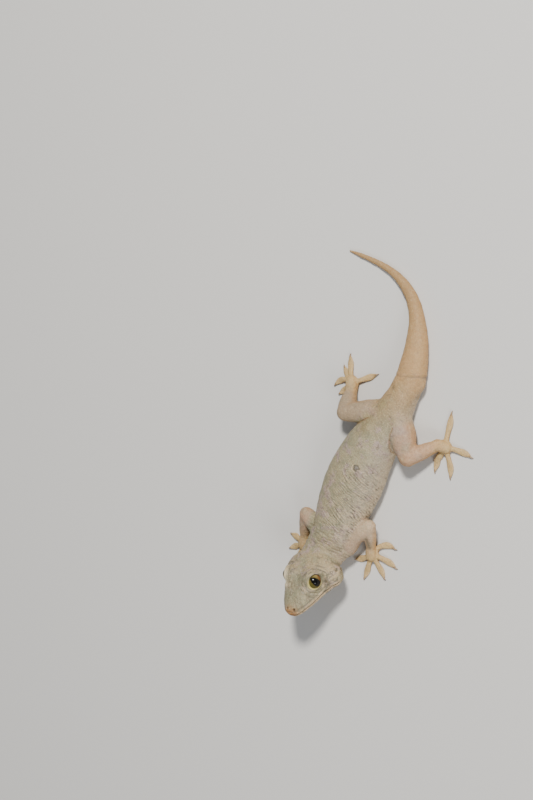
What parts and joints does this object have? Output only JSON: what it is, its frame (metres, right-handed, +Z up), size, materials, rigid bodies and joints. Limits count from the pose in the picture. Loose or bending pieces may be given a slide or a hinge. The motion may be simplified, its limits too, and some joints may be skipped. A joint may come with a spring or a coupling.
{
  "type": "yellow-green house gecko",
  "caption": "Still, life-size house gecko, flat on its belly, with raised turned head, bent limbs, splayed padded toes and a short tail curled to its right.",
  "frame": {"origin": "on the floor, on the flat of the belly under the middle of the trunk", "axes": "+Z up from the floor; -Y towards the head, +X towards the animal's left side"},
  "size_m": [0.0695, 0.1039, 0.0201],
  "materials": {
    "skin": "matte granular scales, greenish grey with faint dark flecks",
    "limb_skin": "matte granular scales, pale orange",
    "tail_skin": "matte even scales, tan orange",
    "eye": "glossy olive gold iris with an upright black pupil",
    "claw": "horn brown, slightly translucent"
  },
  "bodies": {
    "root": {"head": "skin", "neck": "skin", "torso": "skin", "eye_left": "eye", "eye_right": "eye", "tail_base": "tail_skin", "tail_middle": "tail_skin", "tail_tip": "tail_skin", "upper_arm_left": "limb_skin", "forearm_left": "limb_skin", "hand_left": "limb_skin", "thigh_left": "limb_skin", "shank_left": "limb_skin", "foot_left": "limb_skin", "upper_arm_right": "limb_skin", "forearm_right": "limb_skin", "hand_right": "limb_skin", "thigh_right": "limb_skin", "shank_right": "limb_skin", "foot_right": "limb_skin"}
  },
  "joints": []
}
